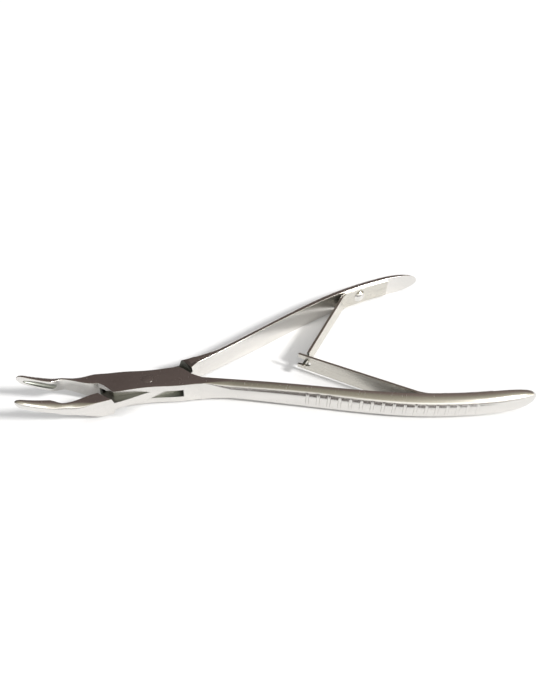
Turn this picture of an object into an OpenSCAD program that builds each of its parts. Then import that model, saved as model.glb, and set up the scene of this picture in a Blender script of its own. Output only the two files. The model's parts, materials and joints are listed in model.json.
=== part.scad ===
// Box-joint nipping pliers with curved spoon jaws and a double leaf return spring.
// Each half is drawn closed, lying along X about the pivot axis, and is then swung
// open by half of the opening angle. The jaws point to -X and the handles to +X.
// The underside of the joint is at z = 0. The far side is +Y, the near side is -Y.

/* [Overall] */
// Pivot axis to the jaw tip
front_len = 33.2; // [29:0.1:40]
// Pivot axis to the end of a handle
back_len = 106.5; // [95:0.5:130]
// Angle between the two halves when the springs hold them open
open_angle = 15.6; // [10:0.1:17]

/* [Box joint] */
// Width across the joint at its shoulders
joint_w = 8.2; // [7:0.1:10]
// Hollow in each side of the joint at the pivot
joint_waist = 0.5; // [0:0.1:0.8]
// Thickness through both cheeks and the tongue
joint_t = 5.8; // [5:0.1:7]
// Thickness of the tongue
tongue_t = 2.2; // [1.8:0.1:3]
// Pivot to the corner of a shoulder, at the side of the joint
shoulder_x = 9; // [8.5:0.1:10.5]
// Pivot to the end of a shoulder, at the middle of the joint
heel_x = 12.5; // [12:0.1:15]
// Diameter of the pivot pin
pin_d = 3.2; // [2.6:0.1:3.9]
// Radial play of the tongue on the pin
pin_play = 0.04; // [0.02:0.01:0.08]
// Play between the tongue and each cheek
cheek_play = 0.05; // [0.03:0.01:0.1]
// Half of the gap left between the jaws when the pliers are closed
shoulder_gap = 0.15; // [0.1:0.05:0.3]
// Gap between a cheek's end and the tongue half's shoulder, at the side of the joint
root_side_gap = 1.2; // [0.8:0.1:1.8]
// The same gap at the middle of the joint
root_heel_gap = 0.4; // [0.3:0.1:1]
// Lean of those shoulders away from the cheeks, in degrees
root_lean = 21; // [0:1:30]

/* [Jaws] */
// Rise of the jaw tip above the middle of the joint
jaw_rise = 6.5; // [4:0.1:10]
// Height of a jaw where it leaves the joint
jaw_root_h = 5.1; // [4.5:0.1:7]
// Height of a jaw at its spoon
jaw_tip_h = 2.7; // [2.4:0.1:3.4]
// Thickness of a jaw at its spoon
jaw_tip_t = 1.3; // [1.2:0.1:2]
// Depth of the hollow behind the spoon, on the inner side
jaw_relief = 1.6; // [0.6:0.1:1.8]
// Length of the spoon's hollow
cup_len = 10.4; // [8:0.1:12]
// Depth of the spoon's hollow
cup_depth = 0.95; // [0.6:0.05:1.05]

/* [Handles] */
// Closing plane to the inner face of a handle at its end
handle_spread = 18.4; // [15:0.1:22]
// Height of a handle over its grip
handle_h = 7; // [6.2:0.1:9]
// Thickness of a handle behind the joint
handle_root_t = 2.5; // [2.2:0.1:3.4]
// Thickness of a handle over its grip
handle_t = 3.4; // [2.8:0.1:4.4]
// Number of grip grooves on each handle
grooves = 17; // [9:1:19]
// Pivot to the first grip groove
groove_x = 43; // [38:0.5:48]
// Distance between grip grooves
groove_pitch = 2.78; // [2.2:0.02:2.8]
// Depth of a grip groove
groove_depth = 0.35; // [0.15:0.05:0.4]

/* [Springs] */
// Pivot to the bend where a leaf leaves its handle
leaf_x = 73.5; // [70:0.1:80]
// Length of the clamped foot behind the bend
foot_len = 19.5; // [15:0.1:22]
// Thickness of the spring strip
spring_t = 0.8; // [0.5:0.05:1]
// Height of a leaf at its foot
foot_h = 5.8; // [5:0.1:6.2]
// Height of a leaf at its tip
leaf_tip_h = 4.8; // [4:0.1:5.4]
// Pivot to the point where the two leaves meet
meet_x = 45.9; // [44:0.1:50]
// Distance of that point from the middle line, towards the far handle
meet_y = -1.6; // [-2.5:0.1:2.5]
// Length of the fork's prongs past the meeting point
prong_len = 2.4; // [1.8:0.1:3]
// Height of the tongue that passes between the prongs
hook_h = 1.2; // [0.9:0.1:1.5]
// Length of the tongue past the meeting point
hook_len = 2; // [1.6:0.1:2.6]
// Clearance round the tongue in the fork
fork_gap = 0.35; // [0.25:0.05:0.5]
// Bend to the middle of the clamping screw
screw_back = 7.1; // [5:0.1:9]
// Diameter of the screw head
screw_head_d = 4.4; // [3.6:0.1:4.8]
// Height of the domed screw head
screw_head_h = 1.2; // [0.8:0.1:1.6]
// Diameter of the screw shank
screw_d = 2; // [1.6:0.1:2.4]

/* [Hidden] */
$fn = 64;
mid_z = joint_t / 2;
half_open = open_angle / 2;
side_y = joint_w / 2;
slot_x = shoulder_x + 0.4;
block_x = heel_x + 2.2;
jaw_x0 = heel_x + 1.3;
far = 4 * joint_w;
hair = 0.01;
// clearance between the screw head and the edges of its flat seat
seat_r = screw_head_d / 2 + 0.25;
// half of the open slit between the foot and its leaf, which bend there as one strip
bend_gap = 0.6;

steel = [0.70, 0.68, 0.66];
bright_steel = [0.80, 0.79, 0.77];
spring_steel = [0.62, 0.60, 0.57];

function smooth(u) = let (v = min(1, max(0, u))) v * v * (3 - 2 * v);
function mix(a, b, u) = a + (b - a) * u;
function turn(p, a) = [p.x * cos(a) - p.y * sin(a), p.x * sin(a) + p.y * cos(a)];
function unit(v) = v / norm(v);
function flat_normal(v) = unit([-v.y, v.x]);
function power_cos(a, e) = pow(max(0, cos(a)), e);
function power_sin(a, e) = sign(sin(a)) * pow(abs(sin(a)), e);

// ---- the inner face of a handle: one cubic curve from the heel to the end ----
handle_span = back_len - heel_x;
handle_ctrl = [[heel_x + 0.3, 0.8],
               [heel_x + 0.42 * handle_span, 0.575 * handle_spread],
               [heel_x + 0.61 * handle_span, 1.15 * handle_spread],
               [back_len, handle_spread]];
function bezier(c, t) = pow(1 - t, 3) * c[0] + 3 * t * pow(1 - t, 2) * c[1]
                      + 3 * t * t * (1 - t) * c[2] + pow(t, 3) * c[3];
function curve_at(x, lo = 0, hi = 1, n = 24) =
    n == 0 ? (lo + hi) / 2
    : let (m = (lo + hi) / 2) bezier(handle_ctrl, m).x < x ? curve_at(x, m, hi, n - 1)
                                                           : curve_at(x, lo, m, n - 1);
function inner_at(x) = bezier(handle_ctrl, curve_at(x));
function outward_at(x) = flat_normal(inner_at(min(x + 0.1, back_len - hair)) - inner_at(x - 0.1));

// stations along the handle; the screw seat is one flat between two of them
foot_x0 = leaf_x + bend_gap;
foot_x1 = leaf_x + foot_len;
screw_x = leaf_x + screw_back;
function steps(a, b, n) = [for (i = [0 : n - 1]) mix(a, b, i / n)];
foot_x = concat(steps(foot_x0, screw_x - seat_r, 2), steps(screw_x - seat_r, screw_x + seat_r, 1),
                steps(screw_x + seat_r, foot_x1, 4), [foot_x1]);
handle_x = concat(steps(heel_x + 0.4, foot_x0, 16), foot_x,
                  [for (i = [1 : 8]) mix(foot_x1, back_len - 0.02, sin(11.25 * i))]);
// how far a station is through the rounded end of the handle
round_x = back_len - 15;
function end_fade(x, p) = pow(max(0, 1 - pow(max(0, (x - round_x) / (back_len - round_x)), p)), 0.5);
function handle_thick(x) =
    mix(handle_root_t, handle_t, smooth((x - 0.36 * back_len) / (0.33 * back_len)))
    * mix(0.22, 1, end_fade(x, 2.2)) + 1.0 * smooth((heel_x + 4 - x) / 4);
function handle_height(x) =
    mix(joint_t, handle_h, smooth((x - heel_x) / (0.33 * back_len))) * mix(0.12, 1, end_fade(x, 2.6));
section_a = [for (i = [0 : 10]) -90 + 18 * i];
function handle_ring(x) =
    let (p = inner_at(x), n = outward_at(x), t = handle_thick(x), h = handle_height(x) / 2,
         e = mix(0.28, 0.5, smooth((x - heel_x) / 20)))
    [for (a = section_a) concat(p + n * t * power_cos(a, e), [mid_z + h * power_sin(a, e)])];

// ---- a jaw: a bowed bar that ends in a spoon ----
function jaw_u(x) = (-x - jaw_x0) / (front_len - jaw_x0);
jaw_bow_x = heel_x - 3;
function jaw_z(x) = mid_z + jaw_rise * pow(max(0, (-x - jaw_bow_x) / (front_len - jaw_bow_x)), 2);
spoon_x = front_len - cup_len + 2.6;
function jaw_inner(x) = shoulder_gap
    + jaw_relief * smooth((spoon_x - -x) / 3) * smooth((-x - jaw_x0 - 0.5) / (spoon_x - jaw_x0 - 4));
function tip_fade(x) = sqrt(max(0, 1 - pow(max(0, (-x - front_len + 1.6) / 1.6), 2)));
function jaw_outer(x) =
    jaw_tip_t + (side_y - jaw_tip_t) * (1 - pow(max(0, jaw_u(x)), 1.4));
function jaw_high(x) = mix(jaw_tip_h, jaw_root_h, pow(max(0, 1 - jaw_u(x)), 1.5));
jaw_x = concat([-jaw_x0 + 0.9], steps(-jaw_x0, -front_len + 1.6, 16),
                [for (i = [0 : 4]) -front_len + 1.6 - 1.58 * sin(22.5 * i)]);
function jaw_ring(x) =
    let (y0 = jaw_inner(x), f = mix(0.25, 1, tip_fade(x)), t = (jaw_outer(x) - y0) * f,
         h = jaw_high(x) / 2 * f, e = mix(0.3, 0.9, smooth(1.6 * jaw_u(x))))
    [for (a = section_a) [x, y0 + t * power_cos(a, e), jaw_z(x) + h * power_sin(a, e)]];

// skin round a row of rings with the same number of points
module sweep(rings) {
    n = len(rings[0]);
    k = len(rings);
    points = [for (r = rings) for (p = r) p];
    walls = [for (i = [0 : k - 2]) for (j = [0 : n - 1])
        let (a = i * n + j, b = i * n + (j + 1) % n, c = a + n, d = b + n)
        each [[a, b, d], [a, d, c]]];
    first = [[for (j = [n - 1 : -1 : 0]) j]];
    last = [[for (j = [0 : n - 1]) (k - 1) * n + j]];
    polyhedron(points = points, faces = concat(walls, first, last), convexity = 6);
}

module far_handle() {
    difference() {
        sweep([for (x = backwards(handle_x)) handle_ring(x)]);
        for (i = [0 : grooves - 1]) grip_groove(groove_x + i * groove_pitch);
    }
}

groove_r = 0.5;
module grip_groove(x) {
    p = inner_at(x) + outward_at(x) * (handle_thick(x) + groove_r - groove_depth);
    translate([p.x, p.y, mid_z - handle_h]) cylinder(r = groove_r, h = 2 * handle_h, $fn = 24);
}

// the far jaw with the hollow of its spoon
module far_jaw() {
    difference() {
        sweep([for (x = jaw_x) jaw_ring(x)]);
        spoon_hollow();
    }
}

cup_mid_x = -(front_len - 1 - cup_len / 2);
cup_slope = atan2(jaw_z(cup_mid_x - 1) - jaw_z(cup_mid_x + 1), 2);
cup_r = (pow(cup_len / 2, 2) + cup_depth * cup_depth) / (2 * cup_depth);
module spoon_hollow() {
    translate([cup_mid_x, shoulder_gap, jaw_z(cup_mid_x) + 0.1])
        rotate([0, 90 + cup_slope, 0])
            rotate_extrude($fn = 48)
                intersection() {
                    translate([cup_depth - cup_r, 0]) circle(r = cup_r, $fn = 120);
                    translate([0, -cup_len]) square([2 * cup_depth, 2 * cup_len]);
                }
}

// ---- the box joint ----
function side_at(x) = side_y - joint_waist * pow(max(0, cos(90 * x / shoulder_x)), 2);
side_row = [for (i = [-6 : 6]) [i * shoulder_x / 6, side_at(i * shoulder_x / 6)]];
near_row = [for (p = side_row) [p.x, -p.y]];
function backwards(v) = [for (i = [len(v) - 1 : -1 : 0]) v[i]];

// shoulder line at the far side and behind: the edge of everything behind the joint
module cheek_outline() {
    polygon(concat([[-block_x, shoulder_gap], [-heel_x, shoulder_gap]],
                   near_row,
                   [[block_x, -side_y + 0.15], [block_x, -shoulder_gap - 0.9], [heel_x, -shoulder_gap]],
                   backwards(side_row), [[-block_x, side_y]]));
}

// the way through the box, open to the near side in front and to the far side behind
module slot_outline() {
    polygon([[-heel_x, shoulder_gap], [-slot_x, side_y + hair], [-slot_x, far], [far, far],
             [heel_x + 2, shoulder_gap], [heel_x, -shoulder_gap], [slot_x, -side_y - hair],
             [slot_x, -far], [-far, -far], [-heel_x - 2, -shoulder_gap]]);
}

module tongue_outline() {
    g = shoulder_gap;
    polygon(concat([[-block_x, -g], [-heel_x + g, -g]], [[-slot_x + g, side_at(slot_x)]],
                   side_row, [[block_x, side_y - 0.15], [block_x, g + 0.9], [heel_x - g, g]],
                   [[slot_x - g, -side_at(slot_x)]], backwards(near_row), [[-block_x, -side_y]]));
}

// the shoulder of the tongue half, parallel to the end of the cheeks and behind it
root_side_x = shoulder_x + root_side_gap;
root_heel_x = heel_x + root_heel_gap;
shoulder_dir = atan2(shoulder_gap - side_y, root_heel_x - root_side_x);

// full thickness of the tongue half behind the cheeks
module root_outline() {
    polygon([[block_x, shoulder_gap + 0.9], [root_heel_x, shoulder_gap], [root_side_x, side_y],
             [block_x, side_y - 0.15]]);
}

// what is cut from above and below the tongue so that the shoulder leans back
module root_lean_cut() {
    for (up = [0, 1])
        translate([0, 0, mid_z])
            mirror([0, 0, up])
                translate([root_side_x, side_y, tongue_t / 2])
                    rotate([0, 0, shoulder_dir])
                        rotate([-root_lean, 0, 0])
                            translate([-joint_w, -joint_w, 0])
                                cube([4 * joint_w, joint_w, joint_t]);
}

module tongue_root() {
    difference() {
        linear_extrude(joint_t) root_outline();
        root_lean_cut();
    }
}

// seen from the side the joint is flat, and thins where the jaws leave it
module joint_profile() {
    h = joint_t / 2;
    r = jaw_root_h / 2;
    translate([0, far, mid_z])
        rotate([90, 0, 0])
            linear_extrude(2 * far)
                polygon([[-block_x - 1, -r], [-shoulder_x / 2, -h], [block_x + 1, -h],
                         [block_x + 1, h], [-shoulder_x / 2, h], [-block_x - 1, r]]);
}

module pin_hole(r) {
    translate([0, 0, -1]) cylinder(r = r, h = joint_t + 2);
}

module box_body() {
    intersection() {
        difference() {
            linear_extrude(joint_t) cheek_outline();
            translate([0, 0, mid_z - tongue_t / 2 - cheek_play])
                linear_extrude(tongue_t + 2 * cheek_play) slot_outline();
        }
        joint_profile();
    }
}

module tongue_body() {
    translate([0, 0, mid_z - tongue_t / 2]) linear_extrude(tongue_t) tongue_outline();
    intersection() {
        for (end = [0, 180]) rotate([0, 0, end]) tongue_root();
        joint_profile();
    }
}

// ---- the springs ----
function foot_back(x) = inner_at(x);
function foot_front(x) = inner_at(x) - outward_at(x) * spring_t;
seat_a = inner_at(screw_x - seat_r);
seat_b = inner_at(screw_x + seat_r);
seat_mid = (seat_a + seat_b) / 2;
seat_angle = atan2(seat_b.y - seat_a.y, seat_b.x - seat_a.x);

module far_foot() {
    difference() {
        translate([0, 0, mid_z - foot_h / 2])
            linear_extrude(foot_h)
                polygon(concat([for (x = foot_x) foot_back(x)],
                               backwards([for (x = foot_x) foot_front(x)])));
        on_seat() translate([0, 0, -1]) cylinder(r = screw_d / 2 + 0.1, h = 3);
    }
}

// frame of the screw: its z axis points from the handle's inner face towards the other handle
module on_seat() {
    translate([seat_mid.x, seat_mid.y, mid_z]) rotate([0, 0, seat_angle]) rotate([90, 0, 0]) children();
}

screw_grip = 2.4;
head_r = (pow(screw_head_d / 2, 2) + pow(screw_head_h, 2)) / (2 * screw_head_h);
module screw_blank() {
    translate([0, 0, -screw_grip]) cylinder(r = screw_d / 2, h = screw_grip + spring_t + 0.3);
    translate([0, 0, spring_t + seat_play])
        rotate_extrude()
            intersection() {
                translate([0, screw_head_h - head_r]) circle(r = head_r, $fn = 160);
                square([screw_head_d, screw_head_h]);
            }
}
seat_play = 0.02;

// the leaf's bend, in the handle's own frame and with the pliers open
bend = inner_at(leaf_x) - outward_at(leaf_x) * spring_t / 2;
bend_open = turn(bend, half_open);
// from the bend to the meeting point: side is 1 for the far leaf, -1 for the near one,
// which is drawn as its mirror image
function leaf_run(side) = [meet_x, side * meet_y] - bend_open;
function leaf_len(side) = norm(leaf_run(side));
// half height of a leaf at a distance from its bend
function leaf_half(side, s) = mix(foot_h, leaf_tip_h, s / leaf_len(side)) / 2;

// plane of a leaf: x runs from the bend to the meeting point, y is its height
module on_leaf(side) {
    run = leaf_run(side);
    translate([bend_open.x, bend_open.y, mid_z])
        rotate([0, 0, atan2(run.y, run.x)])
            rotate([90, 0, 0])
                translate([0, 0, -spring_t / 2]) children();
}

slot_half = hook_h / 2 + fork_gap;
module fork_outline() {
    len = leaf_len(-1);
    slot_s = len - spring_t - 1 + slot_half;
    tip = len + prong_len;
    h = leaf_tip_h / 2;
    difference() {
        polygon([[bend_gap, -leaf_half(-1, 0)], [len, -h], [tip, -h + 0.5], [tip, h - 0.5],
                 [len, h], [bend_gap, leaf_half(-1, 0)]]);
        translate([slot_s, 0]) circle(r = slot_half);
        polygon([[slot_s, -slot_half], [tip + 1, -h + 0.9], [tip + 1, h - 0.9], [slot_s, slot_half]]);
    }
}

module hook_outline() {
    len = leaf_len(1);
    neck = len - spring_t - 0.9;
    tip = len + hook_len;
    polygon([[bend_gap, -leaf_half(1, 0)], [neck, -leaf_half(1, neck)], [neck, -hook_h / 2],
             [tip, -hook_h / 2], [tip, hook_h / 2], [neck, hook_h / 2],
             [neck, leaf_half(1, neck)], [bend_gap, leaf_half(1, 0)]]);
}

// ---- the nodes ----
module box_half() {
    color(steel) rotate([0, 0, -half_open]) difference() {
        union() {
            box_body();
            far_jaw();
            mirror([0, 1, 0]) far_handle();
        }
        pin_hole(pin_d / 2);
        mirror([0, 1, 0]) screw_hole();
    }
}

module tongue_half() {
    color(steel) rotate([0, 0, half_open]) difference() {
        union() {
            tongue_body();
            mirror([0, 1, 0]) far_jaw();
            far_handle();
        }
        pin_hole(pin_d / 2 + pin_play);
        screw_hole();
    }
}

module screw_hole() {
    on_seat() translate([0, 0, -screw_grip]) cylinder(r = screw_d / 2, h = screw_grip + 1);
}

module pivot_pin() {
    color(bright_steel) cylinder(r = pin_d / 2, h = joint_t);
}

module hook_spring_foot() {
    color(spring_steel) rotate([0, 0, half_open]) far_foot();
}

module fork_spring_foot() {
    color(spring_steel) mirror([0, 1, 0]) rotate([0, 0, half_open]) far_foot();
}

module hook_spring_leaf() {
    color(spring_steel) on_leaf(1) {
        linear_extrude(spring_t) hook_outline();
        translate([leaf_len(1) + hook_len, hook_h / 2, spring_t / 2])
            rotate([90, 0, 0]) cylinder(r = spring_t * 0.75, h = hook_h);
    }
}

module fork_spring_leaf() {
    color(spring_steel) mirror([0, 1, 0]) on_leaf(-1) linear_extrude(spring_t) fork_outline();
}

module hook_spring_screw() {
    color(bright_steel) rotate([0, 0, half_open]) on_seat() screw_blank();
}

module fork_spring_screw() {
    color(bright_steel) mirror([0, 1, 0]) rotate([0, 0, half_open]) on_seat() screw_blank();
}

box_half();
tongue_half();
pivot_pin();
hook_spring_foot();
hook_spring_leaf();
fork_spring_foot();
fork_spring_leaf();
hook_spring_screw();
fork_spring_screw();
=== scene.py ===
# %% [markdown]
# # Box-joint nipping pliers with a double leaf spring
# These are small all-steel pliers. Two halves cross in a box joint: one half is slotted, and
# the other passes through the slot as a thin tongue and turns on a pin. Two bent spring
# strips, one screwed to each handle, meet as a hook and a fork and push the handles apart.
# The CAD frame already holds the sizes and the joints. This lesson makes the steel itself:
# one smooth mesh for each half, one bent strip for each spring, and a ground finish.

# %% Load the frame
import json
import math
import bpy
import bmesh
from mathutils import Matrix, Vector


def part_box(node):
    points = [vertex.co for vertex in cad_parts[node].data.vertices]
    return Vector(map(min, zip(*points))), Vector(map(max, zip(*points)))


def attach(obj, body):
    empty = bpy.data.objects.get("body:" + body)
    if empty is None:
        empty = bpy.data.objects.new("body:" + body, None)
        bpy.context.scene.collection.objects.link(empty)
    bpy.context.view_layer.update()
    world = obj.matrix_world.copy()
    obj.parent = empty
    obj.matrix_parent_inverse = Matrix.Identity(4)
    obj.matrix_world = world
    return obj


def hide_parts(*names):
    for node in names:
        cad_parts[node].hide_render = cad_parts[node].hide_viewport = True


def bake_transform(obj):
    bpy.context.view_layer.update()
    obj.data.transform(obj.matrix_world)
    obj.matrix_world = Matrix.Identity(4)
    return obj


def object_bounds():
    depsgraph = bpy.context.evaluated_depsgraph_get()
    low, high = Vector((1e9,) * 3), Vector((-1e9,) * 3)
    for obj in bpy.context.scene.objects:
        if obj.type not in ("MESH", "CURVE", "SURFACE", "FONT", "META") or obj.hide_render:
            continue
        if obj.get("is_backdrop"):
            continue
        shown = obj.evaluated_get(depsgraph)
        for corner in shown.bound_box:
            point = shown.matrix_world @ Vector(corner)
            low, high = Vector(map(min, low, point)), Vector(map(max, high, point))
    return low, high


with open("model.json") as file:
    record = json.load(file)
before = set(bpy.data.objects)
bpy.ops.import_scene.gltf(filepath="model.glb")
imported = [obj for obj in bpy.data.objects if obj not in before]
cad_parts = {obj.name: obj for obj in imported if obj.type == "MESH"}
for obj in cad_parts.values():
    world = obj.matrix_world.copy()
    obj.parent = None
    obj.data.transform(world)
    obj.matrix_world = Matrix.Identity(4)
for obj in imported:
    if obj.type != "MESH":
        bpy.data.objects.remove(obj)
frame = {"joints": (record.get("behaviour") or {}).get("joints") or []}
cad_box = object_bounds()
MM = 0.001

# %% [markdown]
# ## Sizes
# What moves or fits is read from the frame: the joint's thickness and the pin's radius from
# the pin's own box, the opening angle from the pivot's range, and the bend of the springs
# from the hook's joint. The rest are the sizes of the forging, in millimetres. Each half is worked
# out closed, lying along X, and is turned open at the end.

# %% Driving sizes
pin_low, pin_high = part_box("pivot_pin")
joint_t = (pin_high.z - pin_low.z) / MM
pin_r = (pin_high.x - pin_low.x) / 2 / MM
joints = {joint["name"]: joint for joint in frame["joints"]}
half_open = math.radians(-joints["pivot"]["range_deg"][0] / 2)
mid_z = joint_t / 2

front_len, back_len = 33.17, 106.5
joint_w, joint_waist = 8.2, 0.5
side_y = joint_w / 2
shoulder_x, heel_x = 9.0, 12.5
tongue_t, play = 2.2, 0.05
gap = 0.15
handle_spread, handle_h = 18.4, 7.0
handle_root_t, handle_t = 2.5, 3.4
print(f"joint {joint_t:.1f} mm thick, pin radius {pin_r:.2f} mm")
print(f"each half stands open by {math.degrees(half_open):.1f} degrees")


# %% Small helpers for numbers
def clamp(u):
    return min(1.0, max(0.0, u))


def smooth(u):
    u = clamp(u)
    return u * u * (3 - 2 * u)


def mix(a, b, u):
    return a + (b - a) * u


def steps(a, b, count):
    return [mix(a, b, i / count) for i in range(count)]


# %% [markdown]
# ## The line of a handle
# Seen from above, the inner face of a handle is one cubic curve: it leaves the joint,
# swings out and comes back in at the end, which is what lies in the palm. The same four
# control points give the CAD handle. `inner_at` finds the point at a given X by halving.

# %% The handle's curve
handle_run = back_len - heel_x
handle_ctrl = [Vector((heel_x + 0.3, 0.8)),
               Vector((heel_x + 0.42 * handle_run, 0.575 * handle_spread)),
               Vector((heel_x + 0.61 * handle_run, 1.15 * handle_spread)),
               Vector((back_len, handle_spread))]


def on_curve(t):
    a, b, c, d = handle_ctrl
    return (1 - t) ** 3 * a + 3 * t * (1 - t) ** 2 * b + 3 * t * t * (1 - t) * c + t ** 3 * d


def inner_at(x):
    low, high = 0.0, 1.0
    for _ in range(30):
        middle = (low + high) / 2
        if on_curve(middle).x < x:
            low = middle
        else:
            high = middle
    return on_curve((low + high) / 2)


def outward_at(x):
    along = inner_at(min(x + 0.1, back_len - 0.01)) - inner_at(x - 0.1)
    return Vector((-along.y, along.x)).normalized()


print("a handle's inner face ends at y =", round(inner_at(back_len).y, 2), "mm")

# %% [markdown]
# ## Finishes by name
# The mills leave their own duller finish on what they cut, so the finishes need names
# before the first cut. That finish is also dark, as painted shade in the slot, on the flats
# beside the tongue and in the spoon's hollow. A Boolean can hand the cutter's material to the new faces.
# What each finish looks like is set later, when the shapes are done.

# %% Names of the finishes
# the milled finish is duller, and its dark colour is painted shade for the slot, the flats and the spoon's
# hollow
satin, milled_and_painted_shade, ground, brushed, polished = [bpy.data.materials.new(name + "_finish") for name in (
    "satin_steel", "milled_steel_painted_shade", "pin_steel", "spring_steel", "screw_steel")]
print("finishes:", [finish.name for finish in (satin, milled_and_painted_shade, ground, brushed, polished)])

# %% [markdown]
# ## A bar drawn from a blank
# A forging like this starts as a round bar that is hammered into changing sections. The
# same can be done with a mesh: a cylinder is added, its long edges are subdivided into
# stations, and each ring of points is laid on the section that the bar has there. A
# subdivision surface over a coarse cage would also be smooth, but it pulls away from the
# sizes that it is given, and here the sections have to match the frame.

# %% Sections and bars
CORNER = 9          # points round each corner of a section
FLAT = 2            # extra points on each flat side
RING = 4 * (CORNER + FLAT)
MERGE = 0.0005      # points closer than this are one, in millimetres


def section(start, across, thick, z, high, start_edge, end_edge):
    """A ring of points: a box with four rounded corners, set across the bar from start.
    An edge says how far its rounding takes of the thickness, and of the height, and its power."""
    half = high / 2
    room = 0.96 * thick / max(0.96 * thick, start_edge[0] + end_edge[0])
    corners = []
    for side, edge in ((0, start_edge), (1, end_edge)):
        ry, rz, power = edge
        ry *= room
        rz = min(rz, half * 0.96)
        arc = []
        for i in range(CORNER):
            turn = math.pi / 2 * i / (CORNER - 1)
            inset = ry * (1 - abs(math.cos(turn)) ** power)
            up = half - rz + rz * math.sin(turn) ** power
            arc.append((inset if side == 0 else thick - inset, up))
        corners.append(arc)
    start_arc, end_arc = corners
    # from the first side over the top to the other side, and back underneath
    turns = [start_arc, end_arc[::-1],
             [(a, -u) for a, u in end_arc], [(a, -u) for a, u in start_arc[::-1]]]
    ring = []
    for k, arc in enumerate(turns):
        ring += arc
        here, there = arc[-1], turns[(k + 1) % 4][0]
        for i in range(1, FLAT + 1):
            share = i / (FLAT + 1)
            ring.append((mix(here[0], there[0], share), mix(here[1], there[1], share)))
    return [Vector((*(start + across * away), z + up)) for away, up in ring]


def deselect():
    if bpy.context.object and bpy.context.object.mode == "EDIT":
        bpy.ops.object.mode_set(mode="OBJECT")
    bpy.ops.object.select_all(action="DESELECT")


def activate(piece):
    deselect()
    piece.select_set(True)
    bpy.context.view_layer.objects.active = piece


def tidy_faces(piece, angle=33):
    """Merges doubles, turns every face outwards and sets the smooth shading."""
    activate(piece)
    bpy.ops.object.mode_set(mode="EDIT")
    bpy.ops.mesh.select_all(action="SELECT")
    bpy.ops.mesh.remove_doubles(threshold=MERGE)
    bpy.ops.mesh.normals_make_consistent(inside=False)
    bpy.ops.object.mode_set(mode="OBJECT")
    bpy.ops.object.shade_smooth_by_angle(angle=math.radians(angle))


def drawn_bar(name, rings, finish):
    """A closed bar whose rings of points lie on the given sections."""
    deselect()
    bpy.ops.mesh.primitive_cylinder_add(vertices=RING, radius=1, depth=1, end_fill_type="NGON")
    bar = bpy.context.object
    bar.name = name
    bpy.ops.object.mode_set(mode="EDIT")
    bpy.ops.mesh.select_mode(type="EDGE")
    bpy.ops.mesh.select_all(action="DESELECT")
    mesh = bmesh.from_edit_mesh(bar.data)
    for edge in mesh.edges:
        edge.select = abs(edge.verts[0].co.z - edge.verts[1].co.z) > 0.5
    bmesh.update_edit_mesh(bar.data)
    bpy.ops.mesh.subdivide(number_cuts=len(rings) - 2)
    bpy.ops.object.mode_set(mode="OBJECT")
    for vertex in bar.data.vertices:
        station = round((vertex.co.z + 0.5) * (len(rings) - 1))
        place = round(math.atan2(vertex.co.y, vertex.co.x) / math.tau * RING) % RING
        vertex.co = rings[station][place]
    bar.data.materials.append(finish)
    tidy_faces(bar)
    return bar


# %% [markdown]
# ## Cutters and plates
# The slot, the flats beside the tongue and the slot of the fork are milled. In Blender a
# mill is a Boolean modifier and a cutter. A cutter with a straight wall is a disc with one
# point for each corner, pulled to its corners and extruded.

# %% Plates and cuts
def plate(name, corners, low, high, lean=None):
    """A flat piece with the given outline, from z low to z high. lean moves the upper corners."""
    deselect()
    bpy.ops.mesh.primitive_circle_add(vertices=len(corners), radius=1, fill_type="NGON")
    piece = bpy.context.object
    piece.name = name
    for vertex, corner in zip(piece.data.vertices, corners):
        vertex.co = Vector((*corner, low))
    bpy.ops.object.mode_set(mode="EDIT")
    bpy.ops.mesh.select_all(action="SELECT")
    bpy.ops.mesh.extrude_region_move(TRANSFORM_OT_translate={"value": (0, 0, high - low)})
    bpy.ops.object.mode_set(mode="OBJECT")
    if lean:
        for i, corner in enumerate(lean):
            piece.data.vertices[len(corners) + i].co = Vector((*corner, high))
    # every cutter hands on the dark milled finish: a duller finish with painted shade on the faces it cuts
    piece.data.materials.append(milled_and_painted_shade)
    tidy_faces(piece)
    return piece


def combine(piece, other, operation):
    """Applies a Boolean; the other solid is used up, and its faces keep their finish."""
    activate(piece)
    boolean = piece.modifiers.new("combine", "BOOLEAN")
    boolean.operation = operation
    boolean.solver = "EXACT"
    boolean.material_mode = "TRANSFER"
    boolean.object = other
    bpy.ops.object.modifier_apply(modifier=boolean.name)
    bpy.data.objects.remove(other)


def cut(piece, cutter):
    """Mills the cutter's shape out of the piece."""
    combine(piece, cutter, "DIFFERENCE")


def drill(piece, radius, low, high, place=Matrix.Identity(4)):
    """Drills a round hole along the local Z of place."""
    deselect()
    bpy.ops.mesh.primitive_cylinder_add(vertices=96, radius=radius, depth=high - low,
                                        location=(0, 0, (high + low) / 2))
    bit = bpy.context.object
    bpy.ops.object.transform_apply(location=True, rotation=True, scale=True)
    bit.data.transform(place)
    bit.data.materials.append(milled_and_painted_shade)
    cut(piece, bit)


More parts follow.
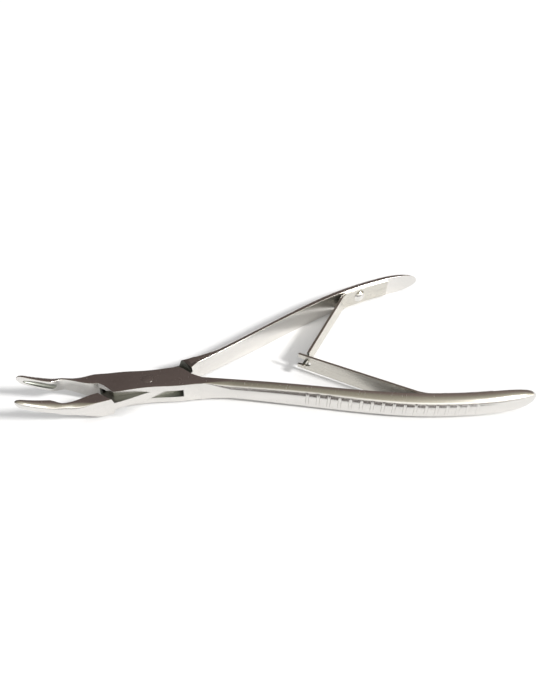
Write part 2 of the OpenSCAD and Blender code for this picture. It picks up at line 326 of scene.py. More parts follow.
def turned_rod(name, radius, low, high, chamfer, finish, sides=96):
    """A round rod along Z with a fine chamfer round both ends."""
    deselect()
    bpy.ops.mesh.primitive_cylinder_add(vertices=sides, radius=radius, depth=high - low,
                                        location=(0, 0, (high + low) / 2))
    rod = bpy.context.object
    rod.name = name
    bpy.ops.object.transform_apply(location=True, rotation=True, scale=True)
    bpy.ops.object.mode_set(mode="EDIT")
    bpy.ops.mesh.select_mode(type="EDGE")
    bpy.ops.mesh.select_all(action="DESELECT")
    mesh = bmesh.from_edit_mesh(rod.data)
    for edge in mesh.edges:
        edge.select = abs(edge.verts[0].co.z - edge.verts[1].co.z) < MERGE
    bmesh.update_edit_mesh(rod.data)
    bpy.ops.mesh.bevel(offset=chamfer, segments=3, affect="EDGES")
    bpy.ops.object.mode_set(mode="OBJECT")
    rod.data.materials.append(finish)
    tidy_faces(rod)
    return rod


# %% [markdown]
# ## The sections of one half
# Both halves start as the same forging: a spoon jaw in front, a flat middle for the joint
# and a bow handle behind. The jaw's inner face and the handle's inner face are flat, and
# their backs are rounded. `edge` values say how round: a share of the section's size.

# %% Jaw and handle sections
jaw_x0 = heel_x + 1.3
jaw_rise, jaw_root_h, jaw_tip_h, jaw_tip_t, jaw_relief = 6.5, 5.1, 2.7, 1.3, 1.6
cup_len, cup_depth = 10.4, 0.95
cup_from_tip, cup_half_h, cup_raise, cup_proud = 1.1, 0.85, 0.1, 0.08
spoon_x = front_len - cup_len + 2.6
bow_x = heel_x - 3
CRISP = (0.1, 0.1, 1.0)
tip_r, end_len = 1.8, 15.0          # how much of the jaw's tip and of the handle's end is rounded
swell_start, swell_run = 0.36 * back_len, 0.33 * back_len


def jaw_share(x):
    return clamp((-x - jaw_x0) / (front_len - jaw_x0))


def jaw_z(x):
    return mid_z + jaw_rise * max(0, (-x - bow_x) / (front_len - bow_x)) ** 2


def jaw_relief_at(x):
    return jaw_relief * smooth((spoon_x + x) / 3) * smooth((-x - jaw_x0 - 0.5) / (spoon_x - jaw_x0 - 4))


def tip_round(x):
    return math.sqrt(max(0, 1 - max(0, (-x - front_len + tip_r) / tip_r) ** 2))


def jaw_section(x):
    inner = gap + jaw_relief_at(x)
    outer = jaw_tip_t + (side_y - jaw_tip_t) * (1 - jaw_share(x) ** 1.4)
    small = mix(0.06, 1, tip_round(x))
    thick = (outer - inner) * small
    high = mix(jaw_tip_h, jaw_root_h, (1 - jaw_share(x)) ** 1.5) * small
    rounded = smooth((-x - jaw_x0) / 7)
    back = (mix(0.1, thick * 0.8, rounded), mix(0.1, high * 0.42, rounded), 1.0)
    # the jaw lies at -Y, so its back is the side that the ring starts from
    return section(Vector((x, -inner - thick)), Vector((0, 1)), thick, jaw_z(x), high, back, CRISP)


def side_at(x):
    return side_y - joint_waist * max(0, math.cos(math.pi / 2 * clamp(abs(x) / shoulder_x))) ** 2


def end_round(x, power):
    return math.sqrt(max(0, 1 - max(0, (x - back_len + end_len) / end_len) ** power))


def handle_thick(x):
    root = smooth((heel_x + 4 - x) / 4)
    body = mix(handle_root_t, handle_t, smooth((x - swell_start) / swell_run))
    return body * mix(0.1, 1, end_round(x, 2.2)) + root


def handle_high(x):
    body = mix(joint_t, handle_h, smooth((x - heel_x) / swell_run))
    return body * mix(0.05, 1, end_round(x, 2.6))


def handle_section(x):
    """The ring turns from straight across the joint to square on the curve."""
    thick = handle_thick(x)
    outward = outward_at(x)
    angle = math.atan2(outward.x, outward.y) * smooth((x - heel_x) / 4)
    outward = Vector((math.sin(angle), math.cos(angle)))
    rounded = clamp((x - 15.5) / 7.5)
    back = (mix(0.1, thick * 0.95, rounded), mix(0.1, handle_high(x) * 0.48, rounded ** 1.3),
            mix(1.0, 0.8, rounded))
    return section(inner_at(x), outward, thick, mid_z, handle_high(x), CRISP, back)


print("jaw tip at z =", round(jaw_z(-front_len), 2), "mm; handle", round(handle_thick(80), 2), "mm thick")

# %% [markdown]
# ## One forging, drawn once
# Between jaw and handle the forging is a flat block with slanting ends. Its edges are kept
# as crisp as a ground edge is. Where a station falls on a corner of the plan, the ring
# carries that corner, so the slanting ends stay flat.

# %% The forging
TIP_STATIONS, JAW_STATIONS, JOINT_STATIONS = 8, 34, 26
HANDLE_STATIONS, ROUND_STATIONS = 84, 16
END_PLAY = 0.03     # how far the handle's end stays inside the frame's


def joint_section(x, end_in, end_out, crotch):
    """Across the block: end_in and end_out are where its slanting ends meet the middle and the side."""
    slant = clamp((end_in - abs(x)) / (end_in - end_out))
    side = side_at(x) - 0.12 * clamp((x - end_out) / (crotch - end_out))
    far_side = mix(-gap, side, slant) if x < 0 else side
    near_side = -side if x < 0 else mix(gap, -side, slant)
    thin = clamp((-x - shoulder_x / 2) / (jaw_x0 - shoulder_x / 2))
    bow = jaw_z(x) if x < 0 else mid_z
    return section(Vector((x, near_side)), Vector((0, 1)), far_side - near_side, bow,
                   mix(joint_t, jaw_root_h, thin), CRISP, CRISP)


def forging(name, end_in, end_out, crotch):
    """The whole half before milling, with its jaw at -Y and its handle at +Y."""
    tip_start = -front_len + tip_r
    tip = [-front_len + tip_r * (1 - math.sin(math.pi / 2 * i / TIP_STATIONS))
           for i in range(TIP_STATIONS, 0, -1)]
    rings = [jaw_section(x) for x in tip + steps(tip_start, -jaw_x0, JAW_STATIONS)]
    for a, b, count in ((-jaw_x0, -end_in, 2), (-end_in, -end_out, 4), (-end_out, end_out, JOINT_STATIONS),
                        (end_out, end_in, 4), (end_in, crotch, 2)):
        rings += [joint_section(x, end_in, end_out, crotch) for x in steps(a, b, count)]
    rings.append(joint_section(crotch, end_in, end_out, crotch))
    round_start = back_len - end_len
    handle = steps(crotch + 1.2, round_start, HANDLE_STATIONS)
    handle += [mix(round_start, back_len - END_PLAY, math.sin(math.pi / 2 * i / ROUND_STATIONS))
               for i in range(ROUND_STATIONS + 1)]
    rings += [handle_section(x) for x in handle]
    return drawn_bar(name, rings, satin)


tongue_half = forging("tongue_half_steel", heel_x - gap, shoulder_x + 0.4 - gap, heel_x + 1.2)
box_half = forging("box_half_steel", heel_x, shoulder_x, heel_x + 1.0)
print("rings make", len(tongue_half.data.polygons), "faces in one forging")

# %% [markdown]
# ## Grip grooves and the spoon
# The grooves across the outer face of each handle are cut by a round mill: one cylinder is
# added, and copied along the curve. The spoon's hollow is a long ball, tilted as the jaw is.

# %% Cut the grooves and the spoon
groove_count, groove_x, groove_pitch, groove_depth, groove_r = 17, 43.0, 2.78, 0.35, 0.5


def groove_mill():
    deselect()
    bpy.ops.mesh.primitive_cylinder_add(vertices=32, radius=groove_r, depth=20)
    first = bpy.context.object
    first.data.materials.append(satin)
    rows = []
    for i in range(groove_count):
        x = groove_x + i * groove_pitch
        place = inner_at(x) + outward_at(x) * (handle_thick(x) + groove_r - groove_depth)
        one = first.copy()
        one.data = first.data.copy()
        one.data.transform(Matrix.Translation((*place, mid_z)))
        bpy.context.scene.collection.objects.link(one)
        rows.append(one)
    bpy.data.objects.remove(first)
    deselect()
    for one in rows:
        one.select_set(True)
    bpy.context.view_layer.objects.active = rows[0]
    bpy.ops.object.join()
    return bpy.context.object


def spoon_mill():
    middle = front_len - cup_from_tip - cup_len / 2
    slope = math.atan2(jaw_z(-middle - 1) - jaw_z(-middle + 1), 2)
    deselect()
    bpy.ops.mesh.primitive_uv_sphere_add(segments=64, ring_count=40, radius=1)
    ball = bpy.context.object
    # the ball stands a little proud of the jaw, so that its widest ring lies outside the steel
    size = Matrix.Diagonal((cup_len / 2, cup_depth + cup_proud, cup_half_h, 1))
    place = Matrix.Translation((-middle, cup_proud - gap, jaw_z(-middle) + cup_raise))
    ball.data.transform(place @ Matrix.Rotation(slope, 4, "Y") @ size)
    # the hollow takes the dark milled finish: painted shade in the spoon
    ball.data.materials.append(milled_and_painted_shade)
    return ball


for half in (tongue_half, box_half):
    cut(half, groove_mill())
    cut(half, spoon_mill())
print("after the round mills:", len(tongue_half.data.polygons), "faces")

# %% [markdown]
# ## Milling the box joint
# The two halves are mirror images until now. The box half gets a slot through its middle,
# open to one side in front of the pin and to the other side behind it. The tongue half gets
# flats above and below, which leave the tongue between two shoulders that lean away.

# %% Mirror the box half, cut the slot and the flats
def mirrored(piece, axis):
    """Turns a mesh into its mirror image, with its faces outward again."""
    scale = Vector((1, 1, 1))
    scale["XYZ".index(axis)] = -1
    piece.data.transform(Matrix.Diagonal((*scale, 1)))
    piece.data.flip_normals()


def weld(piece):
    """Takes out the slivers that milling leaves, and closes what stays open."""
    activate(piece)
    bpy.ops.object.mode_set(mode="EDIT")
    bpy.ops.mesh.select_mode(type="VERT")
    bpy.ops.mesh.select_all(action="SELECT")
    bpy.ops.mesh.remove_doubles(threshold=0.003)
    bpy.ops.mesh.dissolve_degenerate(threshold=0.002)
    bpy.ops.mesh.select_all(action="DESELECT")
    bpy.ops.mesh.select_non_manifold(use_wire=False, use_multi_face=False, use_non_contiguous=False,
                                     use_verts=False)
    bpy.ops.mesh.fill_holes(sides=0)
    bpy.ops.object.mode_set(mode="OBJECT")
    tidy_faces(piece)


mirrored(box_half, "Y")
slot_x, far = shoulder_x + 0.4, 40.0
half_slot = [(-heel_x, gap), (-slot_x, side_y), (-slot_x, far), (far, far), (heel_x + 2, gap)]
slot_plan = half_slot + [(-x, -y) for x, y in half_slot]
cut(box_half, plate("slot_mill", slot_plan, mid_z - tongue_t / 2 - play, mid_z + tongue_t / 2 + play))

root_side_x, root_heel_x, lean = shoulder_x + 1.2, heel_x + 0.4, math.radians(21)
shoulder_run = (root_heel_x - root_side_x) / (side_y - gap)


HAIR = 0.02


def flat_plan(shift):
    """The flat's outline; shift moves its two shoulders away from the pivot."""
    # the inner corner lies a hair past the steel, so that it doesn't fall on its face
    heel = root_heel_x + shift + HAIR * shoulder_run
    half = [(root_side_x + shift - 3 * shoulder_run, side_y + 3), (heel, gap - HAIR),
            (heel, -side_y - 3)]
    return half + [(-x, -y) for x, y in half]


flat_depth = 4.0
for up in (1, -1):
    mill = plate("flat_mill", flat_plan(0), tongue_t / 2, tongue_t / 2 + flat_depth,
                 lean=flat_plan(flat_depth * math.tan(lean)))
    if up < 0:
        mirrored(mill, "Z")
    mill.data.transform(Matrix.Translation((0, 0, mid_z)))
    weld(tongue_half)
    cut(tongue_half, mill)

seat_r, screw_back, screw_r, screw_grip, spring_t = 2.45, 7.1, 1.0, 2.4, 0.8
bend_point = joints["hook_bend"]["pos_m"]
leaf_x = (Matrix.Rotation(-half_open, 2) @ Vector(bend_point[:2]) / MM).x - 0.05
screw_x = leaf_x + screw_back


def on_seat():
    """The screw's own frame: Z points from the handle's inner face towards the other handle."""
    before, behind = inner_at(screw_x - seat_r), inner_at(screw_x + seat_r)
    along = math.atan2(behind.y - before.y, behind.x - before.x)
    place = Matrix.Translation((*((before + behind) / 2), mid_z))
    return place @ Matrix.Rotation(along, 4, "Z") @ Matrix.Rotation(math.pi / 2, 4, "X")


MIRROR_Y = Matrix.Diagonal((1, -1, 1, 1))
for half, flip in ((tongue_half, Matrix.Identity(4)), (box_half, MIRROR_Y)):
    drill(half, pin_r + 0.015, -1, joint_t + 1)
    drill(half, screw_r, -screw_grip, 2, flip @ on_seat())
print("milled:", len(box_half.data.polygons), "and", len(tongue_half.data.polygons), "faces")

# %% Clean the milled faces
def deburr(piece, reach):
    """Takes off the burr that the mills leave on the edge above and below the tongue."""
    activate(piece)
    bpy.ops.object.mode_set(mode="EDIT")
    bpy.ops.mesh.select_mode(type="FACE")
    bpy.ops.mesh.select_all(action="DESELECT")
    mesh = bmesh.from_edit_mesh(piece.data)
    for face in mesh.faces:
        above = min(abs(v.co.z - mid_z) for v in face.verts)
        out = max(abs(v.co.x) for v in face.verts)
        face.select = above > tongue_t / 2 + 1 and out < reach
    bmesh.update_edit_mesh(piece.data)
    bpy.ops.mesh.delete(type="FACE")
    bpy.ops.object.mode_set(mode="OBJECT")


deburr(tongue_half, root_side_x + 0.8)
for half in (tongue_half, box_half):
    weld(half)
print("cleaned:", len(box_half.data.polygons), "and", len(tongue_half.data.polygons), "faces")

# %% [markdown]
# ## The way the grain runs
# The grinding belt ran across the handles, square to their bow, so its lines have to turn
# with the curve. Each point gets an attribute, `grain`: how far along the piece it lies, how far
# across, and how high. A pattern that reads it stays with the steel, whatever the shape.

# %% Write the grain of the halves, then turn them open
def write_grain(piece, where):
    grain = piece.data.attributes.new("grain", "FLOAT_VECTOR", "POINT")
    for i, vertex in enumerate(piece.data.vertices):
        grain.data[i].vector = where(vertex.co)


def along_handle(flip):
    """The grain of a half that lies closed: straight to the heel, then along the curve."""
    stations = [heel_x + i * (back_len - heel_x) / 300 for i in range(301)]
    points = [inner_at(x) for x in stations]
    lengths = [heel_x]
    for a, b in zip(points, points[1:]):
        lengths.append(lengths[-1] + (b - a).length)

    def where(p):
        if p.x < heel_x + 1:
            return (p.x, p.y, p.z)
        flat = Vector((p.x, p.y * flip))
        nearest = min(range(len(points)), key=lambda i: (points[i] - flat).length_squared)
        away = (flat - points[nearest]).dot(outward_at(stations[nearest]))
        return (lengths[nearest], away * flip, p.z)

    return where


for half, flip, turn in ((tongue_half, 1, half_open), (box_half, -1, -half_open)):
    write_grain(half, along_handle(flip))
    half.data.transform(Matrix.Rotation(turn, 4, "Z"))
print("the halves are open by", round(math.degrees(2 * half_open), 1), "degrees")

# %% [markdown]
# ## The springs
# Each spring is one strip, clamped flat on its handle, bent once, and tapered to the tip.
# The CAD frame splits it at the bend so that MuJoCo has a hinge there; the real strip
# flexes, but here it is one mesh, drawn as it lies with the pliers open.
# The strip is a drawn bar again, with a thin section that follows the foot, the bend and
# the leaf.

# %% Draw a strip
foot_len, foot_h, leaf_tip_h = 19.5, 5.8, 4.8
prong_len, hook_h, hook_len, fork_gap = 2.4, 1.2, 2.0, 0.35
STRIP_EDGE = (0.1, 0.1, 1.0)
foot_x1 = leaf_x + foot_len
FOOT_STATIONS, BEND_STATIONS, LEAF_STATIONS = 15, 8, 25
bend_start, bend_end = 1.6, 1.6


def turned(point, angle):
    return Matrix.Rotation(angle, 2) @ point


bend = Vector(bend_point[:2]) / MM


def strip_path(meet, past):
    """Points and sideways directions from the foot's end to past the meeting point, pliers open."""
    seat_flat = [screw_x - seat_r, screw_x + seat_r]
    path = []
    for i in range(FOOT_STATIONS):
        x = mix(foot_x1, leaf_x + bend_start, i / (FOOT_STATIONS - 1))
        if seat_flat[0] < x < seat_flat[1]:
            share = (x - seat_flat[0]) / (2 * seat_r)
            face = inner_at(seat_flat[0]).lerp(inner_at(seat_flat[1]), share)
        else:
            face = inner_at(x)
        outward = outward_at(x)
        path.append((turned(face - outward * spring_t / 2, half_open), turned(outward, half_open)))
    foot_end = path[-1][0]
    run = (meet - bend).normalized()
    leaf_start = bend + run * bend_end
    foot_dir = (path[-1][0] - path[-2][0]).normalized()
    corner = foot_end + foot_dir * bend_start * 0.55
    for i in range(1, BEND_STATIONS + 1):
        t = i / (BEND_STATIONS + 1)
        point = (1 - t) ** 2 * foot_end + 2 * t * (1 - t) * corner + t * t * leaf_start
        tangent = (2 * (1 - t) * (corner - foot_end) + 2 * t * (leaf_start - corner)).normalized()
        path.append((point, Vector((tangent.y, -tangent.x))))
    length = (meet - leaf_start).length + past
    side = Vector((run.y, -run.x))
    last = LEAF_STATIONS - 1
    path += [(leaf_start + run * length * i / last, side) for i in range(LEAF_STATIONS)]
    return path


def strip(name, meet, past):
    path = strip_path(meet, past)
    leaf_len = (meet - bend).length
    rings = []
    walked = 0
    grain_at = []
    for i, (point, side) in enumerate(path):
        if i:
            walked += (point - path[i - 1][0]).length
        grain_at.append(walked)
        reach = (point - bend).length if i >= FOOT_STATIONS else 0
        high = mix(foot_h, leaf_tip_h, clamp(reach / leaf_len))
        rings.append(section(point - side * spring_t / 2, side, spring_t, mid_z, high,
                             STRIP_EDGE, STRIP_EDGE))
    piece = drawn_bar(name, rings, brushed)

    def where(p):
        flat = Vector((p.x, p.y))
        nearest = min(range(len(path)), key=lambda i: (path[i][0] - flat).length_squared)
        return (grain_at[nearest] + (flat - path[nearest][0]).length * 0.2, 0, p.z)

    return piece, where


meet_far = Vector((45.9, -1.6))
meet_near = Vector((45.9, 1.6))
hook_spring, hook_grain = strip("hook_spring", meet_far, hook_len)
fork_spring, fork_grain = strip("fork_spring", meet_near, prong_len)
print("hook strip:", round((meet_far - bend).length, 1), "mm from bend to fork")
print("fork strip:", round((meet_near - bend).length, 1), "mm from bend to fork")

# %% [markdown]
# ## The hook and the fork
# The far leaf ends in a narrow tongue with a rolled tip. The near leaf ends in two prongs
# that the tongue passes between. Both are cut from the strips with plates that stand in the
# leaf's own plane, where x runs along the leaf and y is its height.

# %% Cut the hook's neck and the fork's slot
def on_leaf(meet):
    run = meet - bend
    along = math.atan2(run.y, run.x)
    place = Matrix.Translation((*bend, mid_z))
    return place @ Matrix.Rotation(along, 4, "Z") @ Matrix.Rotation(math.pi / 2, 4, "X")


hook_reach = (meet_far - bend).length
fork_reach = (meet_near - bend).length
neck = hook_reach - spring_t - 0.9
for side in (1, -1):
    corners = [(neck, side * hook_h / 2), (neck, side * 6), (hook_reach + 6, side * 6),
               (hook_reach + 6, side * hook_h / 2)]
    notch = plate("notch_mill", corners[::side], -2, 2)
    notch.data.transform(on_leaf(meet_far))
    cut(hook_spring, notch)

slot_half = hook_h / 2 + fork_gap
slot_start = fork_reach - spring_t - 1 + slot_half
tip_half = leaf_tip_h / 2
round_end = [(slot_start - slot_half * math.cos(a), slot_half * math.sin(a))
             for a in [math.pi / 2 - math.pi * i / 20 for i in range(21)]]
prong_tip = fork_reach + prong_len + 1
fork_corners = [(prong_tip, tip_half - 0.9)] + round_end + [(prong_tip, 0.9 - tip_half)]
fork_mill = plate("fork_mill", fork_corners, -2, 2)
fork_mill.data.transform(on_leaf(meet_near))
cut(fork_spring, fork_mill)

bead = turned_rod("bead", spring_t * 0.75, 0.02 - hook_h / 2, hook_h / 2 - 0.02, 0.12, brushed, sides=48)
bead_place = bend + (meet_far - bend).normalized() * (hook_reach + hook_len)
bead.data.transform(Matrix.Translation((*bead_place, mid_z)))
combine(hook_spring, bead, "UNION")

for piece, where in ((hook_spring, hook_grain), (fork_spring, fork_grain)):
    tidy_faces(piece)
    write_grain(piece, where)
mirrored(fork_spring, "Y")
print("hook spring:", len(hook_spring.data.polygons), "faces, fork spring:", len(fork_spring.data.polygons))

# %% [markdown]
# ## Screws and pin
# The spring screws have domed heads: a ball is bisected to its cap, and its flat underside
# ring is drawn in and extruded into the shank. The pin is peened over and ground flush, so only
# the fine chamfer round its ends shows.

# %% Turn the screws and the pin
head_d, head_high = 4.4, 1.2


def dome_screw(name):
    ball_r = ((head_d / 2) ** 2 + head_high ** 2) / (2 * head_high)
    seat = spring_t + 0.02
    deselect()
    bpy.ops.mesh.primitive_uv_sphere_add(segments=96, ring_count=96, radius=ball_r,
                                         location=(0, 0, seat + head_high - ball_r))
    screw = bpy.context.object
    screw.name = name
    bpy.ops.object.transform_apply(location=True)
    bpy.ops.object.mode_set(mode="EDIT")
    bpy.ops.mesh.select_all(action="SELECT")
    bpy.ops.mesh.bisect(plane_co=(0, 0, seat), plane_no=(0, 0, 1), clear_inner=True)
    bpy.ops.mesh.select_mode(type="EDGE")
    bpy.ops.mesh.select_all(action="DESELECT")
    bpy.ops.mesh.select_non_manifold()
    shank = 2 * screw_r / head_d
    bpy.ops.mesh.extrude_edges_move()
    bpy.ops.transform.resize(value=(shank, shank, 1))
    bpy.ops.mesh.extrude_edges_move(
        TRANSFORM_OT_translate={"value": (0, 0, -(seat + screw_grip - 0.1))})
    bpy.ops.mesh.edge_face_add()
    bpy.ops.object.mode_set(mode="OBJECT")
    screw.data.materials.append(polished)
    tidy_faces(screw, angle=40)
    return screw


far_screw = dome_screw("hook_spring_screw_dome")
near_screw = dome_screw("fork_spring_screw_dome")
for screw in (far_screw, near_screw):
    write_grain(screw, lambda p: (p.z, p.x, p.y))
    screw.data.transform(Matrix.Rotation(half_open, 4, "Z") @ on_seat())
mirrored(near_screw, "Y")

pin = turned_rod("pivot_pin_ground", pin_r, 0, joint_t, 0.05, ground)
write_grain(pin, lambda p: (p.x, p.y, p.z))
for piece in (tongue_half, box_half, hook_spring, fork_spring, far_screw, near_screw, pin):
    piece.data.transform(Matrix.Scale(MM, 4))
print("screws and pin turned, and every piece scaled from millimetres to metres")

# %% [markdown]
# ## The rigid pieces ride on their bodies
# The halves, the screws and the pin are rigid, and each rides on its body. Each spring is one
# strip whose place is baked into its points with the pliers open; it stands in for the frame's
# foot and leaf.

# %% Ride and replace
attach(box_half, "box")
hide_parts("box_half")
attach(tongue_half, "tongue")
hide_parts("tongue_half")
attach(pin, "box")
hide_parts("pivot_pin")
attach(far_screw, "tongue")
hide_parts("hook_spring_screw")
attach(near_screw, "box")
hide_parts("fork_spring_screw")


def flexes(spring):
    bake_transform(spring)


flexes(hook_spring)
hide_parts("hook_spring_foot", "hook_spring_leaf")
flexes(fork_spring)
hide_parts("fork_spring_foot", "fork_spring_leaf")

# %% [markdown]
# ## Shader maths as Python
# A shader is a graph of nodes, but its maths reads better as expressions. `Value` wraps a
# socket; adding or multiplying values adds the Math nodes. `Graph.node` makes any other
# node from its type, its settings and its inputs.

# %% Socket wrapper and graph
class Value:
    def __init__(self, graph, socket):
        self.graph, self.socket = graph, socket

    def maths(self, operation, first, second=0.0):
        return self.graph.node("ShaderNodeMath", {"operation": operation}, [first, second])

    def __add__(self, other):
        return self.maths("ADD", self, other)

    def __sub__(self, other):
        return self.maths("SUBTRACT", self, other)

    def __rsub__(self, other):
        return self.maths("SUBTRACT", other, self)

    def __mul__(self, other):
        return self.maths("MULTIPLY", self, other)

    __radd__ = __add__


class Graph:
    def __init__(self, tree):
        self.tree = tree
        tree.nodes.clear()

    def plug(self, socket, value):
        if isinstance(value, Value):
            self.tree.links.new(value.socket, socket)
        else:
            socket.default_value = value

    def node(self, kind, settings=None, inputs=(), output=0):
        made = self.tree.nodes.new(kind)
        for name, setting in (settings or {}).items():
            if name == "stops":
                ramp = made.color_ramp
                while len(ramp.elements) < len(setting):
                    ramp.elements.new(0.5)
                for element, (place, colour) in zip(ramp.elements, setting):
                    element.position = place
                    element.color = (*colour, 1)
            else:
                setattr(made, name, setting)
        pairs = inputs.items() if isinstance(inputs, dict) else enumerate(inputs)
        for key, value in pairs:
            self.plug(made.inputs[key], value)
        return Value(self, made.outputs[output]) if len(made.outputs) else made


# %% [markdown]
# ## Satin steel
# Stainless steel is a metal: its colour is in its reflections. Three things make it real.
# The polishing lines are noise that is stretched along the belt's path: across the handles
# and the joint, along the springs. They feed the roughness and a very shallow bump. Slow
# clouds vary the roughness, as handling does. Faint wide streaks vary the colour. The same
# function makes each finish with its own numbers.

# %% Materials
ACROSS, ALONG = (7.0, 0.5, 0.35), (0.2, 5.0, 5.0)


def steel(material, colour, rough, belt, line_strength, streak, cloud, bump_depth):
    material.use_nodes = True
    graph = Graph(material.node_tree)
    grain = graph.node("ShaderNodeAttribute", {"attribute_name": "grain"}, output="Vector")
    path = graph.node("ShaderNodeVectorMath", {"operation": "MULTIPLY"}, [grain, belt])
    fine = graph.node("ShaderNodeTexNoise", inputs={"Vector": path, "Scale": 1.0, "Detail": 3.0,
                                                    "Roughness": 0.6})
    slow = graph.node("ShaderNodeVectorMath", {"operation": "MULTIPLY"}, [grain, (0.05, 0.5, 0.5)])
    wide = graph.node("ShaderNodeTexNoise", inputs={"Vector": slow, "Scale": 1.0, "Detail": 2.0})
    place = graph.node("ShaderNodeTexCoord", output="Object")
    clouds = graph.node("ShaderNodeTexNoise", inputs={"Vector": place, "Scale": 110.0, "Detail": 2.0})
    roughness = rough + (fine - 0.5) * line_strength + (clouds - 0.5) * cloud
    shade = (wide - 0.5) * streak + (fine - 0.5) * streak + 0.5
    dark = tuple(0.85 * channel for channel in colour)
    light = tuple(min(1.0, 1.15 * channel) for channel in colour)
    tint = graph.node("ShaderNodeMix", {"data_type": "RGBA"},
                      {"Factor": shade, 6: (*dark, 1), 7: (*light, 1)}, output=2)
    bump = graph.node("ShaderNodeBump", inputs={"Strength": 0.2, "Distance": bump_depth * MM,
                                                "Height": fine})
    surface = graph.node("ShaderNodeBsdfPrincipled",
                         inputs={"Base Color": tint, "Metallic": 1.0, "Roughness": roughness,
                                 "Normal": bump})
    graph.node("ShaderNodeOutputMaterial", inputs={"Surface": surface})


steel(satin, (0.73, 0.715, 0.69), rough=0.24, belt=ACROSS, line_strength=0.16, streak=0.6,
      cloud=0.06, bump_depth=0.02)
# milled faces: a duller finish, and a dark colour that is painted shade for the slot, the flats and the
# hollow
steel(milled_and_painted_shade, (0.26, 0.27, 0.245), rough=0.40, belt=ACROSS, line_strength=0.10, streak=0.6,
      cloud=0.10, bump_depth=0.02)
steel(ground, (0.72, 0.705, 0.68), rough=0.25, belt=ACROSS, line_strength=0.12, streak=0.5,
      cloud=0.04, bump_depth=0.01)
steel(brushed, (0.62, 0.60, 0.55), rough=0.29, belt=ALONG, line_strength=0.18, streak=0.9,
      cloud=0.06, bump_depth=0.02)
steel(polished, (0.72, 0.71, 0.69), rough=0.15, belt=ALONG, line_strength=0.04, streak=0.3,
      cloud=0.04, bump_depth=0.004)
print("lines across the handles are", round(1 / ACROSS[0], 2), "mm apart or less")

# %% [markdown]
# ## Floor, light and camera
# The floor is plain and nearly white. Metal shows what stands round it, so the studio
# matters more than the lamp. The sky that the metal sees is dark behind and above the far
# side, which makes the flat tops read dark. A bright band above the near side makes the
# light lines on the shoulders, with a dark band under it, and the white floor fills the
# side faces. The floor itself sees a plain sky. A soft sun from the near right throws the
# shadow.

# %% Floor
floor_z = cad_box[0].z
deselect()
bpy.ops.mesh.primitive_plane_add(size=12, location=(0, 0, floor_z))
floor = bpy.context.object
floor.name = "floor"
floor_paint = bpy.data.materials.new("floor_paint")
floor_paint.use_nodes = True
paint = Graph(floor_paint.node_tree)
paint_shader = paint.node("ShaderNodeBsdfPrincipled", inputs={"Base Color": (0.86, 0.86, 0.86, 1),
                                                              "Roughness": 0.9})
paint.node("ShaderNodeOutputMaterial", inputs={"Surface": paint_shader})
floor.data.materials.append(floor_paint)
floor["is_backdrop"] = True

# a dark card lies beside the near handle; only reflections see it, as a dark band above the floor
card = plate("dark_card", [(9, -18), (97, -52), (30, -240), (-60, -206)], floor_z / MM + 0.1,
             floor_z / MM + 0.3)
card.data.transform(Matrix.Scale(MM, 4))
card_paint = bpy.data.materials.new("card_paint")
card_paint.use_nodes = True
paint = Graph(card_paint.node_tree)
card_shader = paint.node("ShaderNodeBsdfPrincipled", inputs={"Base Color": (0.06, 0.045, 0.04, 1),
                                                             "Roughness": 0.9})
paint.node("ShaderNodeOutputMaterial", inputs={"Surface": card_shader})
card.data.materials.clear()
card.data.materials.append(card_paint)
card.visible_camera = card.visible_diffuse = card.visible_shadow = False
card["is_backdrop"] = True
print("floor at", round(floor_z / MM, 2), "mm")

# %% Studio light
world = bpy.data.worlds.new("studio")
bpy.context.scene.world = world
world.use_nodes = True
studio = Graph(world.node_tree)
direction = studio.node("ShaderNodeTexCoord", output="Generated")
split = studio.node("ShaderNodeSeparateXYZ", inputs=[direction])
up_part = Value(studio, split.socket.node.outputs["Z"])
near_part = 0 - Value(studio, split.socket.node.outputs["Y"])
# angle from straight up towards the near side, from -180 to 180 degrees, as a share of a turn
around = studio.node("ShaderNodeMath", {"operation": "ARCTAN2"}, [near_part, up_part])
share = around * (0.5 / math.pi) + 0.5


def sky_stop(degrees, level, tint):
    return (degrees / 360 + 0.5, tuple(level * channel for channel in tint))


PLAIN_LEVEL = 0.66      # how bright the plain sky is for the floor; the camera sees it at 1
BROWN, OLIVE, CREAM = (1.0, 0.75, 0.68), (1.0, 0.93, 0.72), (1.0, 0.98, 0.93)
sky = studio.node("ShaderNodeValToRGB", {"stops": [
    sky_stop(-90, 0.10, BROWN), sky_stop(-48, 0.125, BROWN), sky_stop(-30, 0.18, BROWN),
    sky_stop(-8, 0.30, OLIVE), sky_stop(26, 0.46, OLIVE), sky_stop(54, 0.70, OLIVE),
    sky_stop(63, 2.0, CREAM), sky_stop(74, 2.0, CREAM), sky_stop(82, 0.14, BROWN),
    sky_stop(90, 0.11, BROWN)]}, {"Fac": share})
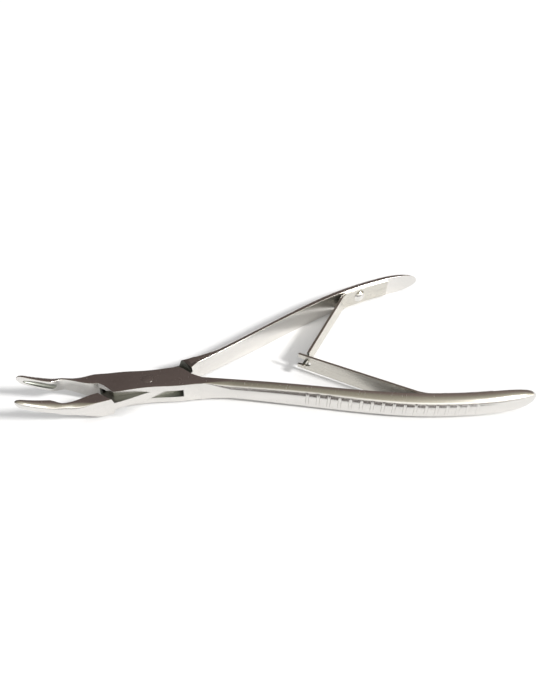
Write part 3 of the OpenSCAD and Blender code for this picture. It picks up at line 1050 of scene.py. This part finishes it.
# the window is on the right, so what a dome shows on its left is darker
sideways = Value(studio, split.socket.node.outputs["X"]) * 0.6 + 0.84
mirrored_sky = studio.node("ShaderNodeBackground", inputs={"Color": sky, "Strength": sideways})
seen_by_metal = studio.node("ShaderNodeLightPath", output="Is Glossy Ray")
seen_by_camera = Value(studio, seen_by_metal.socket.node.outputs["Is Camera Ray"])
plain_level = seen_by_camera * (1 - PLAIN_LEVEL) + PLAIN_LEVEL
plain_sky = studio.node("ShaderNodeBackground", inputs={"Color": (1, 1, 1, 1), "Strength": plain_level})
backdrop = studio.node("ShaderNodeMixShader", inputs={0: seen_by_metal, 1: plain_sky, 2: mirrored_sky})
studio.node("ShaderNodeOutputWorld", inputs={"Surface": backdrop})

sun_data = bpy.data.lights.new("soft_sun", "SUN")
sun_data.energy = 3.4
sun_data.angle = math.radians(10)
sun_data.color = (1.0, 0.99, 0.98)
sun = bpy.data.objects.new("soft_sun", sun_data)
sun_from = Vector((0.62, -0.55, 0.56))
sun.rotation_mode = "QUATERNION"
sun.rotation_quaternion = sun_from.to_track_quat("Z", "Y")
bpy.context.scene.collection.objects.link(sun)
bpy.context.scene.view_settings.view_transform = "Standard"
print("sun at", round(math.degrees(math.asin(sun_from.normalized().z))), "degrees above the floor")

# %% Camera
lens_share = 541.5 / 700            # focal length over the picture's long side
camera_data = bpy.data.cameras.new("camera")
camera_data.sensor_width = 36
camera_data.lens = 36 * lens_share
camera_data.clip_start = 0.01
camera = bpy.data.objects.new("camera", camera_data)
bpy.context.scene.collection.objects.link(camera)
bpy.context.scene.camera = camera
pitch, yaw, roll_angle = math.radians(37.56), math.radians(19.47), math.radians(2.43)
forward = Vector((math.sin(yaw) * math.cos(pitch), math.cos(yaw) * math.cos(pitch), -math.sin(pitch)))
level = Vector((math.cos(yaw), -math.sin(yaw), 0))
upright = level.cross(forward)
right = math.cos(roll_angle) * level + math.sin(roll_angle) * upright
top = -math.sin(roll_angle) * level + math.cos(roll_angle) * upright
aim = Matrix((right, top, -forward)).transposed().to_4x4()
camera.matrix_world = Matrix.Translation(Vector((-6.02, -116.3, 103.3)) * MM) @ aim
print("camera lens", round(camera_data.lens, 2), "mm")

# %% Print the sizes
visual_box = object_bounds()
for name, box in (("CAD", cad_box), ("visual", visual_box)):
    print(name, [round(v / MM, 2) for corner in box for v in corner])
